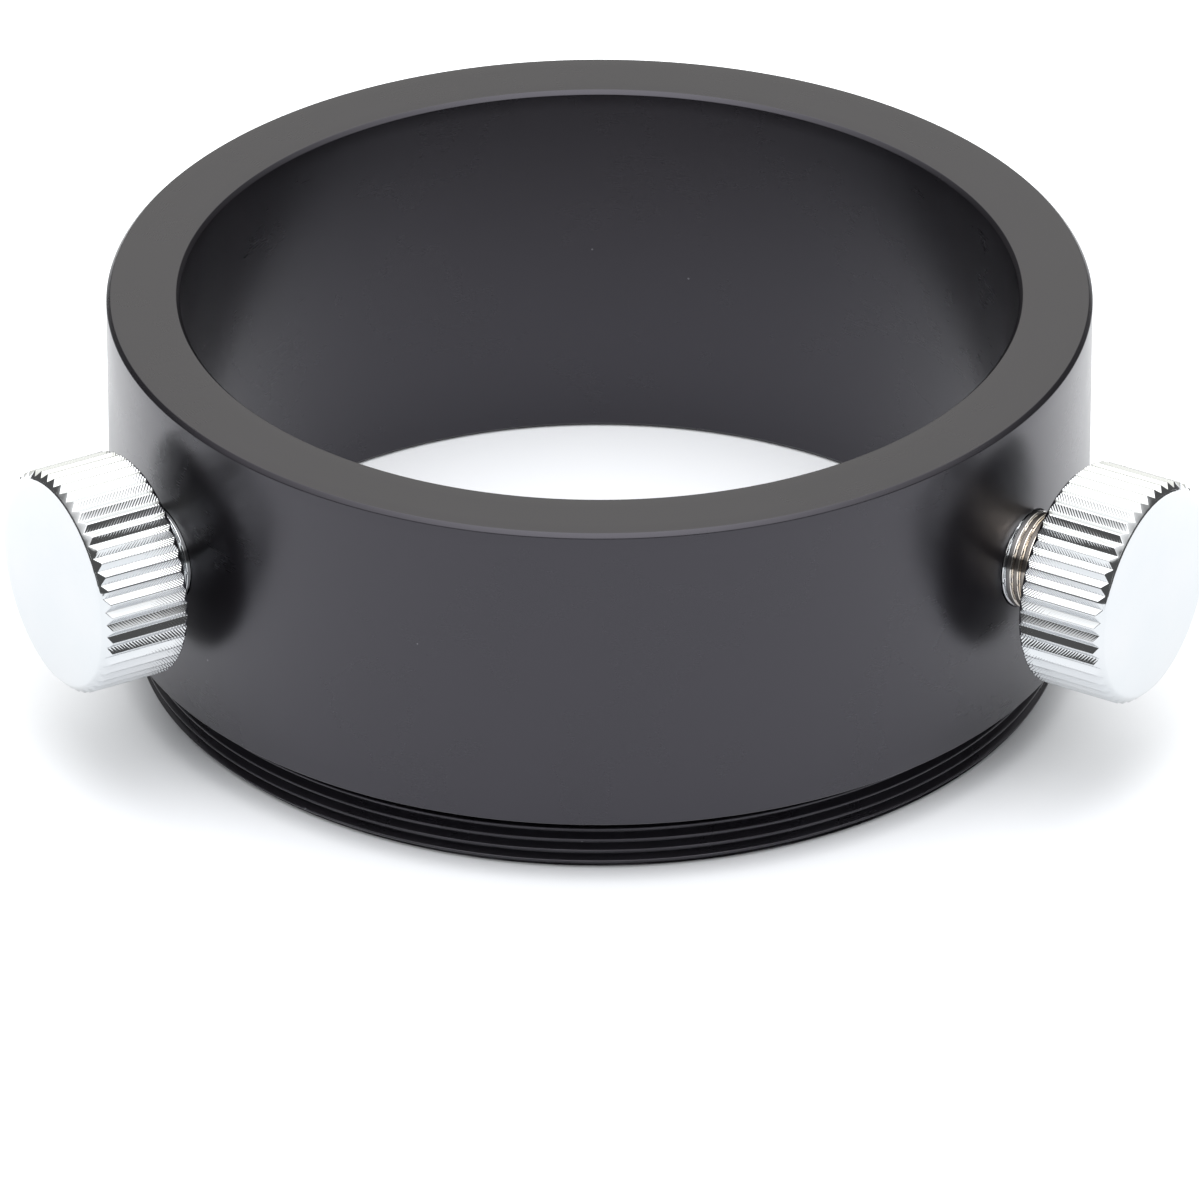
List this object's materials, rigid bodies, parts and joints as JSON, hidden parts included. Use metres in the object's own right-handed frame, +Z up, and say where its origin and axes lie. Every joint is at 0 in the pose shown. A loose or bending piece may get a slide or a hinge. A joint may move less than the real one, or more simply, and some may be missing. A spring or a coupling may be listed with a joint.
{
  "type": "telescope eyepiece holder",
  "caption": "Short black ring that holds a two-inch eyepiece barrel: plain bore, male threaded spigot below, knurled thumbscrews through the wall clamp the barrel.",
  "frame": {"origin": "on the bore's axis, in the flat end face of the threaded spigot that the ring stands on", "axes": "+Z up the bore, from the thread to the eyepiece's side; the thumbscrews stand 60 degrees either side of -Y"},
  "size_m": [0.0726, 0.06, 0.024],
  "materials": {
    "black_anodised": "satin black anodised, fine turning marks",
    "bright_plating": "bright chrome plating on brass",
    "white_nylon": "plain moulded nylon"
  },
  "bodies": {
    "holder": {"ring": "black_anodised"},
    "left_tip": {"left_screw_tip": "white_nylon"},
    "left_screw": {"left_thumbscrew": "bright_plating"},
    "right_tip": {"right_screw_tip": "white_nylon"},
    "right_screw": {"right_thumbscrew": "bright_plating"}
  },
  "joints": [
    {"name": "left_screw_advance", "type": "slide", "parent": "holder", "child": "left_tip", "axis": [-0.866, -0.5, 0], "range_m": [-0.00165, 0.00405]},
    {"name": "left_screw_turn", "type": "hinge", "parent": "left_tip", "child": "left_screw", "pos_m": [-0.02767, -0.01597, 0.014], "axis": [-0.866, -0.5, 0], "range_deg": [-1188, 2916]},
    {"name": "right_screw_advance", "type": "slide", "parent": "holder", "child": "right_tip", "axis": [0.866, -0.5, 0], "range_m": [-0.00275, 0.00295]},
    {"name": "right_screw_turn", "type": "hinge", "parent": "right_tip", "child": "right_screw", "pos_m": [0.02862, -0.01653, 0.014], "axis": [0.866, -0.5, 0], "range_deg": [-1980, 2124]}
  ],
  "couplings": [
    {"joint": "left_screw_advance", "follows": "left_screw_turn", "m_per_rad": 0.00007958},
    {"joint": "right_screw_advance", "follows": "right_screw_turn", "m_per_rad": 0.00007958}
  ]
}
